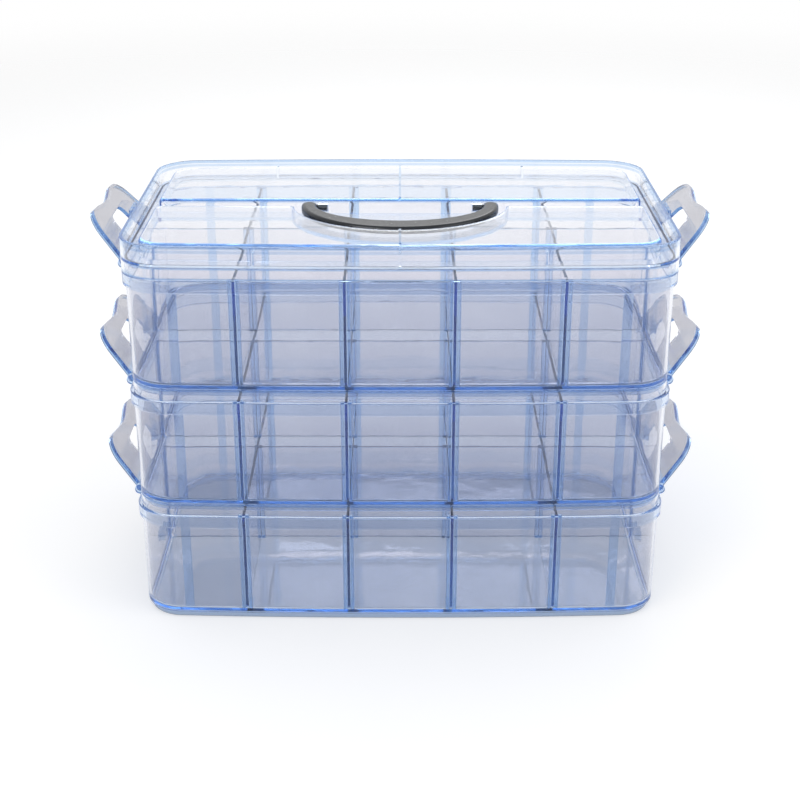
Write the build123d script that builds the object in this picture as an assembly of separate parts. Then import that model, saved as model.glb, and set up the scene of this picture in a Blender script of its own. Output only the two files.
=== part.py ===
from build123d import *
from math import cos, radians, sqrt, tan
import os

# Three-tier compartment box of clear plastic: three equal trays stack foot in collar,
# a lid with a folding carrying handle closes the top one, and each tray has a
# C-shaped latch at both short ends that holds the tier above.
# Millimetres. +X runs along the long sides, -Y is the front and +Z is up.
# The origin is on the ground under the middle of the bottom tray.

# Tray body, measured outside its walls
tray_length = 316.0
tray_width = 190.0
tray_height = 78.0
side_bow = 4.0
corner_radius = 24.0
wall = 1.8
floor_thickness = 1.8
floor_fillet = 3.0
shoulder_fillet = 0.8
tiers = ("bottom", "middle", "top")

# Stacking foot, a rim under the floor that drops into the collar below
foot_height = 4.0
foot_clearance = 0.5

# Collar at the mouth and the flange band under it
collar_height = 7.0
collar_fillet = 0.4
flange_height = 8.0
flange_out = 2.0
flange_fillet = 0.7

# Raised strips outside the long walls, near the corners
strip_width = 5.0
strip_out = 0.6

# Dividers and the slots that hold them
cross_slots = 4
divider_thickness = 1.6
foot_to_divider = 3.0
divider_dip = 1.6
slot_clearance = 0.2
end_clearance = 0.3
rib_width = 2.2
rib_out = 1.7
rib_fillet = 0.5

# Latch plate, hinge and catch
latch_width = 100.0
latch_taper = 16.0
latch_corner = 18.0
latch_dip = 3.0
latch_window = 34.0
latch_window_top = 28.0
latch_window_corner = 6.0
latch_bar = 11.5
latch_clearance = 1.0
latch_thickness = 2.2
lip_width = 2.0
lip_thickness = 3.4
latch_rest_angle = 50.0
barrel_radius = 2.4
barrel_gap = 0.4
hinge_pin_radius = 1.3
hinge_pin_length = 2.4
pin_clearance = 0.08
lug_width = 3.0
lug_radius = 3.1
lug_gap = 0.3
catch_height = 6.0
catch_lift = 2.5
catch_proud = 1.3
catch_pitch = 7.0
catch_posts = 3
stem_width = 1.6
head_width = 5.0
head_thickness = 1.6

# Lid
skirt_clearance = 0.3
skirt_gap = 0.4
lid_rim = 13.0
lid_deck = 1.8
lid_wall = 1.7
panel_height = 11.0
panel_fillet = 2.5
panel_corner = 5.0
gutter = 8.5
channel_clearance = 2.5
recess_side_clearance = 4.5
recess_front_clearance = 5.0
lid_rib_width = 1.4
lid_rib_height = 0.8
gusset_place = 82.0
gusset_drop = 2.0

# Carrying handle, folded flat in its recess
handle_end_outer = 60.5
handle_reach = 52.0
handle_end_width = 9.5
handle_middle_width = 16.0
handle_thickness = 6.0
handle_fillet = 2.4
handle_clearance = 0.95
stub_radius = 2.0
stub_inset = 0.5
post_length = 6.0
post_half_width = 3.5
post_gap = 0.9
post_top = 3.6

# Places that follow from the sizes above
half_length = tray_length / 2
half_width = tray_width / 2
floor_top = foot_height + floor_thickness
flange_top = tray_height - collar_height
flange_bottom = flange_top - flange_height
divider_top = tray_height - foot_height - foot_to_divider
tier_pitch = tray_height - foot_height
foot_inset = wall + foot_clearance
strip_place = half_length - corner_radius - strip_width
slot_gap = divider_thickness + 2 * slot_clearance
column_pitch = 2 * (half_length - wall) / (cross_slots + 1)
cross_places = [column_pitch * (i - (cross_slots - 1) / 2) for i in range(cross_slots)]
hinge_out = flange_out + barrel_gap + barrel_radius
hinge_x = half_length + hinge_out
hinge_z = flange_bottom + flange_height / 2
latch_length = tray_height - hinge_z + catch_lift + catch_height + latch_clearance + latch_bar
catch_reach = hinge_out + latch_thickness / 2 + catch_proud
lid_bottom = tier_pitch * (len(tiers) - 1) + tray_height
channel = handle_end_width + channel_clearance
recess_half_length = handle_end_outer + recess_side_clearance
recess_reach = handle_reach + recess_front_clearance
handle_lift = lid_deck + handle_end_width / 2 + handle_clearance
stub_start = handle_end_outer - handle_end_width / 2
post_outer = handle_end_outer - handle_end_width - post_gap


def plan(grow=0.0):
    """Outline of the walls, moved out by grow: straight ends, bowed sides, round corners."""
    x = half_length + grow
    y = half_width + grow
    with BuildSketch() as outline:
        with BuildLine():
            Line((-x, -y), (-x, y))
            ThreePointArc((-x, y), (0, y + side_bow), (x, y))
            Line((x, y), (x, -y))
            ThreePointArc((x, -y), (0, -y - side_bow), (-x, -y))
        make_face()
        fillet(outline.vertices(), corner_radius + grow)
    return outline.sketch


def side_y(x, grow=0.0):
    """How far from the centre line the bowed long wall, moved out by grow, stands at x."""
    end = half_length + grow
    radius = (end**2 + side_bow**2) / (2 * side_bow)
    return half_width + grow + side_bow - radius + sqrt(radius**2 - x**2)


def prism(face, low, high):
    """The face drawn out from height low to height high."""
    return extrude(Pos(0, 0, low) * face, high - low)


def block(x_range, y_range, z_range):
    """A box between three pairs of limits."""
    (x1, x2), (y1, y2), (z1, z2) = x_range, y_range, z_range
    middle = Pos((x1 + x2) / 2, (y1 + y2) / 2, (z1 + z2) / 2)
    return middle * Box(abs(x2 - x1), abs(y2 - y1), abs(z2 - z1))


def bottom_edges(solid):
    """The edges of a solid's lowest face."""
    return solid.faces().sort_by(Axis.Z)[0].edges()


def top_edges(solid):
    """The edges of a solid's highest face."""
    return solid.faces().sort_by(Axis.Z)[-1].edges()


def tray_walls():
    """Walls, floor, flange and stacking foot of one tray."""
    body = fillet(bottom_edges(prism(plan(), foot_height, tray_height)), shoulder_fillet)
    body = fillet(top_edges(body), collar_fillet)
    band = prism(plan(flange_out), flange_bottom, flange_top)
    band = fillet(bottom_edges(band) + top_edges(band), flange_fillet)
    foot = prism(plan(-foot_inset), 0, foot_height + floor_thickness / 2)
    foot = fillet(bottom_edges(foot), collar_fillet)
    under_floor = prism(plan(-foot_inset - wall), 0, foot_height)
    inside = prism(plan(-wall), floor_top, tray_height)
    inside = fillet(bottom_edges(inside), floor_fillet)
    return body + band + foot - under_floor - inside


def rib_pair(thickness):
    """Two upright ribs either side of a slot, facing +Y, rooted in a wall this thick."""
    side = (slot_gap + rib_width) / 2
    height = divider_top - floor_top
    ribs = []
    for x in (-side, side):
        rib = block((x - rib_width / 2, x + rib_width / 2), (-thickness / 2, rib_out), (0, height))
        outer = rib.faces().sort_by(Axis.Y)[-1].edges().filter_by(Axis.Z)
        ribs.append(fillet(outer, rib_fillet))
    return Pos(0, 0, floor_top) * (ribs[0] + ribs[1])


def wall_slots():
    """The rib pairs inside the long walls and the short ends."""
    slots = []
    for x in cross_places:
        y = side_y(x, -wall)
        slots.append(Pos(x, -y, 0) * rib_pair(wall))
        slots.append(Pos(x, y, 0) * Rot(0, 0, 180) * rib_pair(wall))
    for turn in (90, -90):
        end = half_length - wall
        slots.append(Rot(0, 0, turn) * Pos(0, -end, 0) * rib_pair(wall))
    return slots


def corner_strips():
    """The raised strips outside the long walls."""
    strips = []
    for x in (-strip_place, strip_place):
        y = side_y(x)
        for side in (-1, 1):
            y_range = (side * (y - wall / 2), side * (y + strip_out))
            x_range = (x - strip_width / 2, x + strip_width / 2)
            strips.append(block(x_range, y_range, (floor_top, flange_bottom + flange_fillet)))
    return strips


def catch(root, low):
    """Row of T-shaped posts on the +X end; they stand out from x = root, from height low up."""
    tip = half_length + catch_reach
    heights = (low, low + catch_height)
    posts = []
    for i in range(catch_posts):
        y = catch_pitch * (i - (catch_posts - 1) / 2)
        stem = (y - stem_width / 2, y + stem_width / 2)
        head = (y - head_width / 2, y + head_width / 2)
        posts.append(block((root - wall / 2, tip), stem, heights))
        posts.append(block((tip - head_thickness, tip), head, heights))
    return posts


def hinge_lugs():
    """Four bored lugs on the +X end's flange, two for each leg of the latch."""
    lugs = []
    inner_face = latch_window / 2 - lug_gap
    outer_face = latch_width / 2 + lug_gap
    for near, far in ((inner_face - lug_width, inner_face), (outer_face, outer_face + lug_width)):
        for side in (-1, 1):
            arm = block(
                (half_length + flange_out / 2, hinge_x),
                (side * near, side * far),
                (hinge_z - lug_radius, hinge_z + lug_radius),
            )
            axis = Pos(hinge_x, side * (near + far) / 2, hinge_z) * Rot(90, 0, 0)
            eye = axis * Cylinder(lug_radius, lug_width)
            bore = axis * Cylinder(hinge_pin_radius + pin_clearance, lug_width)
            lugs.append(arm + eye - bore)
    return lugs


def both_ends(pieces):
    """The pieces of the +X end and the same ones turned round to the -X end."""
    return pieces + [Rot(0, 0, 180) * piece for piece in pieces]


def tray():
    """One whole tray with its foot on the ground."""
    end_features = catch(half_length, foot_height + catch_lift) + hinge_lugs()
    features = wall_slots() + corner_strips() + both_ends(end_features)
    return tray_walls().fuse(*features).clean()


def long_divider():
    """The divider along the middle, with a slot pair on both faces for each cross divider."""
    end = half_length - wall - end_clearance
    nick = floor_fillet + end_clearance
    with BuildSketch(Plane.XZ) as side:
        with BuildLine():
            Polyline(
                (-end, floor_top + nick),
                (-end + nick, floor_top),
                (end - nick, floor_top),
                (end, floor_top + nick),
                (end, divider_top),
                (-end, divider_top),
                close=True,
            )
        make_face()
    plate = extrude(side.sketch, divider_thickness / 2, both=True)
    slots = []
    for x in cross_places:
        pair = Pos(0, divider_thickness / 2, 0) * rib_pair(divider_thickness)
        slots.append(Pos(x, 0, 0) * pair)
        slots.append(Pos(x, 0, 0) * Rot(0, 0, 180) * pair)
    return plate.fuse(*slots).clean()


def cross_divider(x, side):
    """One cross divider at x, from the long divider to the long wall on the given side."""
    near = divider_thickness / 2 + end_clearance
    far = side_y(x, -wall) - end_clearance
    nick = floor_fillet + end_clearance
    with BuildSketch(Plane.YZ) as face:
        with BuildLine():
            Line((near, floor_top), (far - nick, floor_top))
            Line((far - nick, floor_top), (far, floor_top + nick))
            Line((far, floor_top + nick), (far, divider_top))
            dip = ((near + far) / 2, divider_top - divider_dip)
            ThreePointArc((far, divider_top), dip, (near, divider_top))
            Line((near, divider_top), (near, floor_top))
        make_face()
    plate = extrude(face.sketch, divider_thickness / 2, both=True)
    if side < 0:
        plate = Rot(0, 0, 180) * plate
    return Pos(x, 0, 0) * plate


def latch_outline(shrink=0.0):
    """The latch's outer edge above its hinge: leaning sides, two round lobes and a dip between."""
    half = latch_width / 2 - shrink
    top = latch_length - shrink
    corner = latch_corner - shrink
    taper = radians(latch_taper)
    lobe = half - (top - corner) * tan(taper) - corner / cos(taper)
    turn = 90 - latch_taper
    with BuildSketch() as outline:
        with BuildLine():
            left = CenterArc((-lobe, top - corner), corner, 90 + turn, -turn)
            right = CenterArc((lobe, top - corner), corner, 90, -turn)
            Spline(left @ 1, (0, top - latch_dip), right @ 0, tangents=((1, 0), (1, 0)))
            Line(right @ 1, (half, 0))
            Line((half, 0), (-half, 0))
            Line((-half, 0), left @ 0)
        make_face()
    return outline.sketch


def latch_window_shape():
    """The gap between the legs: straight past the lugs, then narrower up to the bar."""
    half = latch_window / 2
    tip = latch_window_top / 2
    top = latch_length - latch_bar
    past_lugs = lug_radius + lug_gap
    with BuildSketch() as window:
        with BuildLine():
            Polyline(
                (-half, 0),
                (-half, past_lugs),
                (-tip, top),
                (tip, top),
                (half, past_lugs),
                (half, 0),
                close=True,
            )
        make_face()
        fillet(window.vertices().group_by(Axis.Y)[-1], latch_window_corner)
    return window.sketch


def latch():
    """The +X latch, standing straight up from its hinge axis, which lies along Y at the origin."""
    outline = latch_outline()
    window = latch_window_shape()
    plate = extrude(outline - window, latch_thickness / 2, both=True)
    lip_face = outline - latch_outline(lip_width)
    lip = extrude(lip_face, lip_thickness / 2, both=True)
    flat = plate + lip
    legs = []
    leg_width = (latch_width - latch_window) / 2
    leg_middle = (latch_width + latch_window) / 4
    for side in (-1, 1):
        centre = Pos(side * leg_middle, 0, 0) * Rot(0, 90, 0)
        legs.append(centre * Cylinder(barrel_radius, leg_width))
        legs.append(centre * Cylinder(hinge_pin_radius, leg_width + 2 * (hinge_pin_length + lug_gap)))
    upright = flat.fuse(*legs).clean()
    return Plane.YZ * upright


def placed_latch(side):
    """A latch on the +X end, or on the -X end where side is negative, swung open at its rest angle."""
    swung = Pos(hinge_x, 0, hinge_z) * Rot(0, 90 - latch_rest_angle, 0) * latch()
    return swung if side > 0 else Rot(0, 0, 180) * swung


def panel_outline(side, inset=0.0):
    """Outline of the lid's raised panel behind (side 1) or in front of (side -1) the channel."""
    start = channel / 2 + inset
    reach = tray_width
    with BuildSketch() as outline:
        add(plan(-gutter - inset))
        with Locations((0, side * (start - reach))):
            Rectangle(2 * tray_length, 2 * reach, mode=Mode.SUBTRACT)
        if side < 0:
            Ellipse(recess_half_length + inset, recess_reach + inset, mode=Mode.SUBTRACT)
        sharp = outline.vertices().filter_by_position(Axis.Y, side * start, side * start)
        fillet(sharp, panel_corner - inset)
    return outline.sketch


def panel(side):
    """A raised hollow panel and the space under it."""
    raised = prism(panel_outline(side), 0, panel_height)
    raised = fillet(top_edges(raised), panel_fillet)
    hollow = prism(panel_outline(side, lid_wall), -lid_deck, panel_height - lid_wall)
    return raised, hollow


def lid_ribs():
    """The thin rib across both panels at mid-length, and the gussets in the gutter."""
    half = lid_rib_width / 2
    over = (panel_height - lid_wall / 2, panel_height + lid_rib_height)
    gusset = (lid_deck / 2, panel_height - gusset_drop)
    ribs = []
    for side in (-1, 1):
        start = panel_fillet + (channel / 2 if side > 0 else recess_reach)
        end = side_y(0, -gutter) - panel_fillet
        ribs.append(block((-half, half), (side * start, side * end), over))
        for x in (-gusset_place, 0, gusset_place):
            inner = side_y(x, -gutter - lid_wall / 2)
            outer = side_y(x, flange_out - lid_wall / 2)
            ribs.append(block((x - half, x + half), (side * inner, side * outer), gusset))
    return ribs


def handle_posts():
    """The two posts in the channel that carry the handle's stubs."""
    posts = []
    for side in (-1, 1):
        x_range = (side * (post_outer - post_length), side * post_outer)
        z_range = (lid_deck / 2, handle_lift + post_top)
        post = block(x_range, (-post_half_width, post_half_width), z_range)
        rounded = post.faces().sort_by(Axis.Z)[-1].edges().filter_by(Axis.X)
        post = fillet(rounded, post_half_width - rib_fillet)
        bore = Pos(side * (post_outer - post_length / 2), 0, handle_lift) * Rot(0, 90, 0)
        posts.append(post - bore * Cylinder(stub_radius + pin_clearance, post_length))
    return posts


def lid():
    """The lid, with height 0 on the top tray's collar."""
    shell = prism(plan(flange_out), -collar_height + skirt_gap, lid_rim)
    shell = fillet(top_edges(shell), collar_fillet)
    shell -= prism(plan(skirt_clearance), -collar_height + skirt_gap, 0)
    shell -= prism(plan(flange_out - lid_wall), lid_deck, lid_rim)
    for side in (-1, 1):
        raised, hollow = panel(side)
        shell = shell + raised - hollow
    shell = shell.fuse(*lid_ribs())
    shell = shell.fuse(*handle_posts())
    return shell.fuse(*both_ends(catch(half_length + flange_out, catch_lift)))


def handle():
    """The folded handle: half a ring, wide in the middle, with round ends and pivot stubs."""
    inner_end = handle_end_outer - handle_end_width
    inner_reach = handle_reach - handle_middle_width
    with BuildSketch() as outline:
        Ellipse(handle_end_outer, handle_reach)
        Ellipse(inner_end, inner_reach, mode=Mode.SUBTRACT)
        with Locations((0, handle_reach)):
            Rectangle(3 * handle_reach, 2 * handle_reach, mode=Mode.SUBTRACT)
        with Locations((-stub_start, 0), (stub_start, 0)):
            Circle(handle_end_width / 2)
    grip = extrude(outline.sketch, handle_thickness / 2, both=True)
    grip = fillet(bottom_edges(grip) + top_edges(grip), handle_fillet)
    stubs = []
    for side in (-1, 1):
        tip = post_outer - post_length + stub_inset
        centre = Pos(side * (stub_start + tip) / 2, 0, 0) * Rot(0, 90, 0)
        stubs.append(centre * Cylinder(stub_radius, stub_start - tip))
    return grip.fuse(*stubs).clean()


def write(shape, name):
    export_step(shape, "parts/" + name + ".step")


os.makedirs("parts", exist_ok=True)
tray_shape = tray()
long_divider_shape = long_divider()
for tier, name in enumerate(tiers):
    raise_to = Pos(0, 0, tier * tier_pitch)
    write(raise_to * tray_shape, name + "_tray")
    write(raise_to * long_divider_shape, name + "_long_divider")
    for side, row in ((-1, "front"), (1, "rear")):
        for number, x in enumerate(cross_places, 1):
            write(raise_to * cross_divider(x, side), f"{name}_{row}_divider_{number}")
    for side, end in ((-1, "left"), (1, "right")):
        write(raise_to * placed_latch(side), f"{name}_latch_{end}")
write(Pos(0, 0, lid_bottom) * lid(), "lid")
write(Pos(0, 0, lid_bottom + handle_lift) * handle(), "handle")
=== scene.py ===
import bpy
import math
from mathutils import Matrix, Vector

# Compartment box of clear plastic: three latched trays in a stack, a lid and a folded handle.
# Metres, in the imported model's own frame: +X along the long sides, -Y the front, +Z up.

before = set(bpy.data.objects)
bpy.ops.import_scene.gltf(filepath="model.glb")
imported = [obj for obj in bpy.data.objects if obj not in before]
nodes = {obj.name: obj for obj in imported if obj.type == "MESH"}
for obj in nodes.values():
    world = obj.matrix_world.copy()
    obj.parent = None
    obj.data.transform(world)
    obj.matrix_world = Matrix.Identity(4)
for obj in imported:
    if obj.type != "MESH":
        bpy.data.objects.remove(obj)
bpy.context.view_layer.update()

# Camera at the photograph's height and distance, in front of the long side
CAMERA_ELEVATION = 23.0
CAMERA_AZIMUTH = 0.0
CAMERA_DISTANCE = 0.98
CAMERA_LENS = 68.0
CAMERA_NEAR = 0.02
AIM = Vector((0.0, 0.0, 0.105))

# Height of each tray's lowest face, and of the lower face of the lid's deck
TIERS = {"bottom": 0.0, "middle": 0.074, "top": 0.148}
LID_LEVEL = 0.226

# Cross dividers stand in slots at a half and one and a half times the pitch from the middle
COLUMN_PITCH = 0.06248
PAST_SLOTS = 1.9 * COLUMN_PITCH
SLOT_REACH = 0.0033

# Clear plastic: refraction, the glow of its inner faces, and the painted deeper blue shade where it
# is thick or edge-on
INDEX = 1.49
TRANSMISSION = 1.0
INNER_GLOW = (0.12, 0.42, 1.0, 1)
GLOW_STRENGTH = 0.007
PAINTED_SHADE_BLUE = (0.30, 0.52, 0.80, 1)

# The part of the tint's change that drifts at random; the rest climbs with the height as painted
# shade, darker towards the bottom
DRIFT = 0.25

# Noises, with scales in ripples per metre, and the values that most of a noise lies between
NOISE_MIDDLE = (0.3, 0.7)
DRIFT_NOISE = {"scale": 22.0}
GLOSS_NOISE = {"scale": 140.0, "detail": 5.0, "rough": 0.6}
RIPPLE_NOISE = {"scale": 45.0, "detail": 2.0}
BLACK_NOISE = {"scale": 60.0}
BLACK_GLOSS_NOISE = {"scale": 320.0, "detail": 4.0}
GRAIN_NOISE = {"scale": 900.0, "detail": 2.0}

# Roughness runs between these limits, and is never below 0
CLEAR_GLOSS = (-0.06, 0.06)
BLACK_GLOSS = (0.16, 0.28)

# Surface ripples
RIPPLE_HEIGHT = 0.001
GRAIN_HEIGHT = 0.0002
GRAIN_STRENGTH = 0.05

# What a piece keeps of the lamps' light that goes straight through it
FILM = (0.95, 0.96, 0.985)
LID_FILM = (0.96, 0.975, 0.99)

# Painted shade: where each kind of piece is thick or edge-on, its colour is painted a deeper blue.
# For each: how much deeper its blue is there, and the limits of the place. x and y are distances
# from the middle, z is the height over the piece's own level, facing_x and facing_z are parts of
# the surface's direction, through is its part across a latch's plate, and slots is a distance from
# the slots.
UPRIGHT = (0.0050, 0.0713)
OUTSIDE_ENDS = (0.1603, 0.180)
TRAY_SHADE_MARKS = {
    "flange": (0.30, {"z": (0.0628, 0.0712)}),
    "rim": (0.75, {"z": (0.0768, 0.0790)}),
    "foot": (0.55, {"z": (-0.001, 0.0052)}),
    "side ribs": (0.60, {"slots": SLOT_REACH, "y": (0.080, 0.110), "z": UPRIGHT}),
    "end ribs": (0.60, {"y": (-0.001, 0.0033), "x": (0.150, 0.1602), "z": UPRIGHT}),
    "corner strips": (0.45, {"x": (0.1262, 0.1318), "y": (0.0925, 0.110), "z": UPRIGHT}),
    "lugs and catches": (0.60, {"x": OUTSIDE_ENDS}),
}
LONG_DIVIDER_SHADE_MARKS = {
    "top edge": (0.70, {"z": (0.0705, 0.0720)}),
    "slot ribs": (0.50, {"slots": SLOT_REACH}),
}
CROSS_DIVIDER_SHADE_MARKS = {
    "narrow edges": (0.70, {"facing_x": (-0.5, 0.5)}),
}
LATCH_SHADE_MARKS = {
    "edges": (0.70, {"through": (-0.7, 0.7)}),
    "hinge barrels": (0.60, {"x": (0.150, 0.1655)}),
}
LID_SHADE_MARKS = {
    "rim": (0.70, {"z": (0.0122, 0.0140)}),
    "skirt": (0.70, {"z": (-0.010, -0.0058)}),
    "gutter": (0.22, {"z": (0.0010, 0.0022)}),
    "panel edges": (0.45, {"z": (0.0088, 0.0106), "facing_z": (-0.9, 0.9)}),
    "panel ribs": (0.60, {"z": (0.0111, 0.0121)}),
    "catches": (0.60, {"x": OUTSIDE_ENDS}),
}

# Sine and cosine of the 50 degrees at which a latch's plate stands above the horizontal
LATCH_LEAN = (0.7660, 0.6428)

# Each clear plastic: its tint low on a piece and high on it, darker low down as painted shade,
# its film, the colour and the strength of the absorption inside it, the strength of its ripple,
# its marks of painted deeper blue shade, and the height over which its tint climbs as painted shade
TRAY = {
    "low": (0.73, 0.73, 0.78),
    "high": (0.95, 0.93, 0.935),
    "film": FILM,
    "depth_colour": (0.36, 0.59, 0.84),
    "density": 19.0,
    "ripple": 0.10,
    "shade_marks": TRAY_SHADE_MARKS,
    "shade_rise": 0.07,
}
LONG_DIVIDER = {
    "low": (0.82, 0.81, 0.845),
    "high": (0.955, 0.935, 0.94),
    "film": FILM,
    "depth_colour": (0.34, 0.59, 0.86),
    "density": 20.0,
    "ripple": 0.08,
    "shade_marks": LONG_DIVIDER_SHADE_MARKS,
    "shade_rise": 0.07,
}
CROSS_DIVIDER = {**LONG_DIVIDER, "shade_marks": CROSS_DIVIDER_SHADE_MARKS}
# Painted shade: the latches' tint is a darker grey than the other plastic's, standing in for darker
# surroundings seen in and through the plates
SHADED_LATCH = {
    "low": (0.53, 0.51, 0.535),
    "high": (0.60, 0.58, 0.605),
    "film": FILM,
    "depth_colour": (0.34, 0.57, 0.82),
    "density": 42.0,
    "ripple": 0.08,
    "shade_marks": LATCH_SHADE_MARKS,
}
LID = {
    "low": (0.97, 0.965, 0.975),
    "high": (0.98, 0.98, 0.985),
    "film": LID_FILM,
    "depth_colour": (0.32, 0.62, 0.90),
    "density": 18.0,
    "ripple": 0.08,
    "shade_marks": LID_SHADE_MARKS,
}

# Black plastic of the handle
BLACK_LOW = (0.004, 0.007, 0.012)
BLACK_HIGH = (0.010, 0.014, 0.021)
BLACK_SPECULAR = 0.35

# Floor and surroundings: FLOOR_LIFT is light added to the floor where it is seen, and
# FLOOR_FADE is where the floor starts to fade and where it is gone
FLOOR_RADIUS = 3.0
FLOOR_SIDES = 96
FLOOR_COLOUR = (0.93, 0.935, 0.945, 1)
FLOOR_LIFT = 0.26
FLOOR_FADE = (0.8, 2.4)
WHITE = (1, 1, 1, 1)
LIGHTING_LEVEL = 0.45
SEEN_LEVEL = 1.0

# Soft square lamps: place, size and watts
LAMPS = {
    "key": ((-0.9, -1.1, 1.5), 0.9, 14.0),
    "fill": ((1.3, -0.6, 1.0), 1.1, 6.0),
    "back": ((0.2, 1.3, 1.3), 1.0, 8.0),
}

# Light that a plate guides is reflected inside it many times before it gets out
BOUNCES = 80
TRANSPARENT_BOUNCES = 40


def node_tree(material):
    """A material's empty node tree with its output node."""
    material.use_nodes = True
    tree = material.node_tree
    tree.nodes.clear()
    return tree, tree.nodes.new("ShaderNodeOutputMaterial")


def noise(tree, coords, scale, detail=3.0, rough=0.5):
    """A noise texture in object space."""
    made = tree.nodes.new("ShaderNodeTexNoise")
    made.inputs["Scale"].default_value = scale
    made.inputs["Detail"].default_value = detail
    made.inputs["Roughness"].default_value = rough
    tree.links.new(coords, made.inputs["Vector"])
    return made.outputs["Fac"]


def spread(tree, value, low, high):
    """The middle of a noise stretched to run from low to high."""
    made = tree.nodes.new("ShaderNodeMapRange")
    made.inputs["From Min"].default_value = NOISE_MIDDLE[0]
    made.inputs["From Max"].default_value = NOISE_MIDDLE[1]
    made.inputs["To Min"].default_value = low
    made.inputs["To Max"].default_value = high
    tree.links.new(value, made.inputs["Value"])
    return made.outputs["Result"]


def two_colours(tree, value, first, second):
    """A colour between first and second, as value goes from 0 to 1."""
    made = tree.nodes.new("ShaderNodeMix")
    made.data_type = "RGBA"
    made.inputs["A"].default_value = (*first, 1)
    made.inputs["B"].default_value = (*second, 1)
    tree.links.new(value, made.inputs["Factor"])
    return made.outputs["Result"]


def rippled(tree, height, strength, distance):
    """The surface's direction, tilted by ripples of that height in metres."""
    made = tree.nodes.new("ShaderNodeBump")
    made.inputs["Strength"].default_value = strength
    made.inputs["Distance"].default_value = distance
    tree.links.new(height, made.inputs["Height"])
    return made.outputs["Normal"]


class ShadeZones:
    """Where the plastic is thick or edge-on, and so gets a painted deeper blue shade."""

    def __init__(self, tree, level):
        self.tree = tree
        coords = tree.nodes.new("ShaderNodeTexCoord")
        place = tree.nodes.new("ShaderNodeSeparateXYZ")
        tree.links.new(coords.outputs["Object"], place.inputs[0])
        facing = tree.nodes.new("ShaderNodeSeparateXYZ")
        tree.links.new(coords.outputs["Normal"], facing.inputs[0])
        self.towards_right = place.outputs["X"]
        self.places = {
            "x": self.math("ABSOLUTE", place.outputs["X"]),
            "y": self.math("ABSOLUTE", place.outputs["Y"]),
            "z": self.math("SUBTRACT", place.outputs["Z"], level),
            "facing_x": facing.outputs["X"],
            "facing_z": facing.outputs["Z"],
        }
        self.total = None

    def math(self, operation, *values):
        """A Math node's result; each value is a number or an output."""
        made = self.tree.nodes.new("ShaderNodeMath")
        made.operation = operation
        for socket, value in zip(made.inputs, values):
            if isinstance(value, (int, float)):
                socket.default_value = value
            else:
                self.tree.links.new(value, socket)
        return made.outputs[0]

    def between(self, value, low, high):
        """1 where value lies between low and high, and 0 elsewhere."""
        return self.math("COMPARE", value, (low + high) / 2, (high - low) / 2)

    def beside_slots(self, reach):
        """1 within reach of a slot, and 0 elsewhere."""
        cell = self.math("PINGPONG", self.places["x"], COLUMN_PITCH / 2)
        near = self.math("GREATER_THAN", self.math("ADD", cell, reach), COLUMN_PITCH / 2)
        inner = self.math("LESS_THAN", self.places["x"], PAST_SLOTS)
        return self.math("MULTIPLY", near, inner)

    def through(self):
        """1 or -1 on the faces of a latch's plate, and 0 on its edges."""
        side = self.math("SIGN", self.towards_right)
        outward = self.math("MULTIPLY", self.places["facing_x"], side)
        sine, cosine = LATCH_LEAN
        across = self.math("MULTIPLY", outward, -sine)
        return self.math("ADD", across, self.math("MULTIPLY", self.places["facing_z"], cosine))

    def inside(self, kind, limits):
        """1 where that kind of place is within its limits, and 0 elsewhere."""
        if kind == "slots":
            return self.beside_slots(limits)
        if kind == "through":
            return self.between(self.through(), *limits)
        return self.between(self.places[kind], *limits)

    def mark(self, strength, limits_of):
        """Paints a deeper blue shade, by strength, where every kind of place is within its limits.
        """
        zone = strength
        for kind, limits in limits_of.items():
            zone = self.math("MULTIPLY", self.inside(kind, limits), zone)
        self.total = zone if self.total is None else self.math("MAXIMUM", self.total, zone)


def plastic_colour(tree, coords, shade_zones, low, high, shade_rise):
    """A tint that drifts at random and, as painted shade, climbs from low to high over the rise
    height, with painted deeper blue shade in the zones.
    """
    drift_and_shade = spread(tree, noise(tree, coords, **DRIFT_NOISE), 0, 1)
    if shade_rise:
        shade_climb = shade_zones.math("MULTIPLY", shade_zones.places["z"], (1 - DRIFT) / shade_rise)
        drift_and_shade = shade_zones.math("ADD", shade_climb, shade_zones.math("MULTIPLY", drift_and_shade, DRIFT))
    shaded_tint = tree.nodes.new("ShaderNodeMix")
    shaded_tint.data_type = "RGBA"
    shaded_tint.inputs["B"].default_value = PAINTED_SHADE_BLUE
    tree.links.new(shade_zones.total, shaded_tint.inputs["Factor"])
    tree.links.new(two_colours(tree, drift_and_shade, low, high), shaded_tint.inputs["A"])
    return shaded_tint.outputs["Result"]


def inner_glow(tree):
    """A faint light on the inner faces, in place of the light that never gets out."""
    inner = tree.nodes.new("ShaderNodeNewGeometry").outputs["Backfacing"]
    glow = tree.nodes.new("ShaderNodeMath")
    glow.operation = "MULTIPLY"
    glow.inputs[1].default_value = GLOW_STRENGTH
    tree.links.new(inner, glow.inputs[0])
    return glow.outputs[0]


def for_lamps(tree, body, film):
    """The body for every ray but the lamps' own, which see a thin tinted film instead."""
    lamp_film = tree.nodes.new("ShaderNodeBsdfTransparent")
    lamp_film.inputs["Color"].default_value = (*film, 1)
    path = tree.nodes.new("ShaderNodeLightPath")
    mix = tree.nodes.new("ShaderNodeMixShader")
    tree.links.new(path.outputs["Is Shadow Ray"], mix.inputs[0])
    tree.links.new(body.outputs[0], mix.inputs[1])
    tree.links.new(lamp_film.outputs[0], mix.inputs[2])
    return mix.outputs[0]


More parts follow.
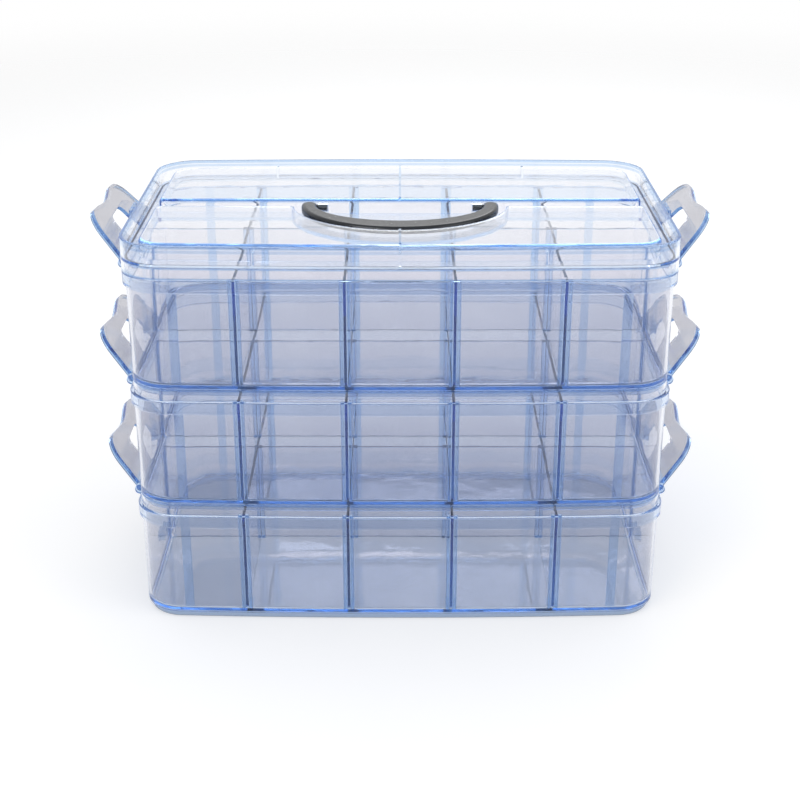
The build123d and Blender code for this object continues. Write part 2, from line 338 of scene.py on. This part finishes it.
def clear_plastic(name, low, high, film, depth_colour, density, ripple, shade_marks, level=0.0, shade_rise=0.0):
    """Clear moulded plastic with a painted deeper blue shade along its edges and, where its tint
    climbs, painted shade low down; it lets lamp light through.
    """
    material = bpy.data.materials.new(name)
    material.cycles.emission_sampling = "NONE"
    tree, output = node_tree(material)
    coords = tree.nodes.new("ShaderNodeTexCoord").outputs["Object"]
    shade_zones = ShadeZones(tree, level)
    for strength, limits_of in shade_marks.values():
        shade_zones.mark(strength, limits_of)
    body = tree.nodes.new("ShaderNodeBsdfPrincipled")
    body.inputs["IOR"].default_value = INDEX
    body.inputs["Transmission Weight"].default_value = TRANSMISSION
    body.inputs["Emission Color"].default_value = INNER_GLOW
    tree.links.new(inner_glow(tree), body.inputs["Emission Strength"])
    colour = plastic_colour(tree, coords, shade_zones, low, high, shade_rise)
    tree.links.new(colour, body.inputs["Base Color"])
    gloss = spread(tree, noise(tree, coords, **GLOSS_NOISE), *CLEAR_GLOSS)
    tree.links.new(gloss, body.inputs["Roughness"])
    surface = rippled(tree, noise(tree, coords, **RIPPLE_NOISE), ripple, RIPPLE_HEIGHT)
    tree.links.new(surface, body.inputs["Normal"])
    tree.links.new(for_lamps(tree, body, film), output.inputs["Surface"])
    inside = tree.nodes.new("ShaderNodeVolumeAbsorption")
    inside.inputs["Color"].default_value = (*depth_colour, 1)
    inside.inputs["Density"].default_value = density
    tree.links.new(inside.outputs[0], output.inputs["Volume"])
    return material


def black_plastic(name):
    """Near-black glossy moulded plastic with a fine grain."""
    material = bpy.data.materials.new(name)
    tree, output = node_tree(material)
    coords = tree.nodes.new("ShaderNodeTexCoord").outputs["Object"]
    body = tree.nodes.new("ShaderNodeBsdfPrincipled")
    body.inputs["Specular IOR Level"].default_value = BLACK_SPECULAR
    shade = spread(tree, noise(tree, coords, **BLACK_NOISE), 0, 1)
    tree.links.new(two_colours(tree, shade, BLACK_LOW, BLACK_HIGH), body.inputs["Base Color"])
    gloss = spread(tree, noise(tree, coords, **BLACK_GLOSS_NOISE), *BLACK_GLOSS)
    tree.links.new(gloss, body.inputs["Roughness"])
    surface = rippled(tree, noise(tree, coords, **GRAIN_NOISE), GRAIN_STRENGTH, GRAIN_HEIGHT)
    tree.links.new(surface, body.inputs["Normal"])
    tree.links.new(body.outputs[0], output.inputs["Surface"])
    return material


def finish_pieces():
    """Gives every piece its plastic."""
    finishes = {"handle": black_plastic("handle_black")}
    for tier, level in TIERS.items():
        finishes[tier + "_tray"] = clear_plastic(tier + "_tray_clear", level=level, **TRAY)
        finishes[tier + "_long_divider"] = clear_plastic(
            tier + "_long_divider_clear", level=level, **LONG_DIVIDER)
        across = clear_plastic(tier + "_cross_divider_clear", level=level, **CROSS_DIVIDER)
        for row in ("front", "rear"):
            for number in range(1, 5):
                finishes[f"{tier}_{row}_divider_{number}"] = across
    finishes["lid"] = clear_plastic("lid_clear", level=LID_LEVEL, **LID)
    latch_clear = clear_plastic("latch_clear", **SHADED_LATCH)
    for name, piece in nodes.items():
        piece.data.materials.clear()
        piece.data.materials.append(finishes.get(name, latch_clear))


def seen_rays(tree):
    """1 for what the camera sees directly, in a mirror or through glass, and 0 for the rest."""
    path = tree.nodes.new("ShaderNodeLightPath")
    value = path.outputs["Is Camera Ray"]
    for kind in ("Is Glossy Ray", "Is Transmission Ray"):
        both = tree.nodes.new("ShaderNodeMath")
        both.operation = "MAXIMUM"
        tree.links.new(value, both.inputs[0])
        tree.links.new(path.outputs[kind], both.inputs[1])
        value = both.outputs[0]
    return value


def floor_light(tree):
    """The floor's own colour, lifted a little where it is seen."""
    base = tree.nodes.new("ShaderNodeBsdfDiffuse")
    base.inputs["Color"].default_value = FLOOR_COLOUR
    lift = tree.nodes.new("ShaderNodeMath")
    lift.operation = "MULTIPLY"
    lift.inputs[1].default_value = FLOOR_LIFT
    tree.links.new(seen_rays(tree), lift.inputs[0])
    glow = tree.nodes.new("ShaderNodeEmission")
    glow.inputs["Color"].default_value = WHITE
    tree.links.new(lift.outputs[0], glow.inputs["Strength"])
    lit = tree.nodes.new("ShaderNodeAddShader")
    tree.links.new(base.outputs[0], lit.inputs[0])
    tree.links.new(glow.outputs[0], lit.inputs[1])
    return lit.outputs[0]


def floor_fade(tree):
    """0 near the box, growing to 1 where the floor is no longer seen."""
    coords = tree.nodes.new("ShaderNodeTexCoord").outputs["Object"]
    reach = tree.nodes.new("ShaderNodeVectorMath")
    reach.operation = "LENGTH"
    tree.links.new(coords, reach.inputs[0])
    fade = tree.nodes.new("ShaderNodeMapRange")
    fade.interpolation_type = "SMOOTHSTEP"
    fade.inputs["From Min"].default_value = FLOOR_FADE[0]
    fade.inputs["From Max"].default_value = FLOOR_FADE[1]
    tree.links.new(reach.outputs["Value"], fade.inputs["Value"])
    return fade.outputs["Result"]


def floor():
    """A plain pale floor that fades out into the white surroundings."""
    bpy.ops.mesh.primitive_circle_add(
        vertices=FLOOR_SIDES, radius=FLOOR_RADIUS, fill_type="NGON", location=(0, 0, 0))
    made = bpy.context.object
    made.name = "floor"
    material = bpy.data.materials.new("floor_pale")
    tree, output = node_tree(material)
    gone = tree.nodes.new("ShaderNodeBsdfTransparent")
    mix = tree.nodes.new("ShaderNodeMixShader")
    tree.links.new(floor_fade(tree), mix.inputs[0])
    tree.links.new(floor_light(tree), mix.inputs[1])
    tree.links.new(gone.outputs[0], mix.inputs[2])
    tree.links.new(mix.outputs[0], output.inputs["Surface"])
    made.data.materials.append(material)


def surroundings():
    """White all round for what is seen, and a softer level for what lights the object."""
    world = bpy.data.worlds.new("studio")
    bpy.context.scene.world = world
    world.use_nodes = True
    tree = world.node_tree
    tree.nodes.clear()
    output = tree.nodes.new("ShaderNodeOutputWorld")
    background = tree.nodes.new("ShaderNodeBackground")
    background.inputs["Color"].default_value = WHITE
    level = tree.nodes.new("ShaderNodeMapRange")
    level.inputs["To Min"].default_value = LIGHTING_LEVEL
    level.inputs["To Max"].default_value = SEEN_LEVEL
    tree.links.new(seen_rays(tree), level.inputs["Value"])
    tree.links.new(level.outputs["Result"], background.inputs["Strength"])
    tree.links.new(background.outputs[0], output.inputs["Surface"])


def lamp(name, place, size, watts):
    """A soft square lamp aimed at the middle of the box."""
    data = bpy.data.lights.new(name, "AREA")
    data.shape = "SQUARE"
    data.size = size
    data.energy = watts
    made = bpy.data.objects.new(name, data)
    bpy.context.scene.collection.objects.link(made)
    made.location = place
    made.rotation_euler = (AIM - Vector(place)).to_track_quat("-Z", "Y").to_euler()


def camera():
    """The camera at the photograph's viewing angle."""
    data = bpy.data.cameras.new("camera")
    data.lens = CAMERA_LENS
    data.clip_start = CAMERA_NEAR
    made = bpy.data.objects.new("camera", data)
    bpy.context.scene.collection.objects.link(made)
    across, up = math.radians(CAMERA_AZIMUTH), math.radians(CAMERA_ELEVATION)
    back = Vector((math.sin(across) * math.cos(up), -math.cos(across) * math.cos(up), math.sin(up)))
    made.location = AIM + back * CAMERA_DISTANCE
    made.rotation_euler = (-back).to_track_quat("-Z", "Y").to_euler()
    bpy.context.scene.camera = made


finish_pieces()
floor()
surroundings()
for lamp_name, (place, size, watts) in LAMPS.items():
    lamp(lamp_name, place, size, watts)
camera()

scene = bpy.context.scene
scene.view_settings.view_transform = "Standard"
scene.cycles.max_bounces = BOUNCES
scene.cycles.glossy_bounces = BOUNCES
scene.cycles.transmission_bounces = BOUNCES
scene.cycles.transparent_max_bounces = TRANSPARENT_BOUNCES
scene.cycles.caustics_reflective = False
scene.cycles.caustics_refractive = False
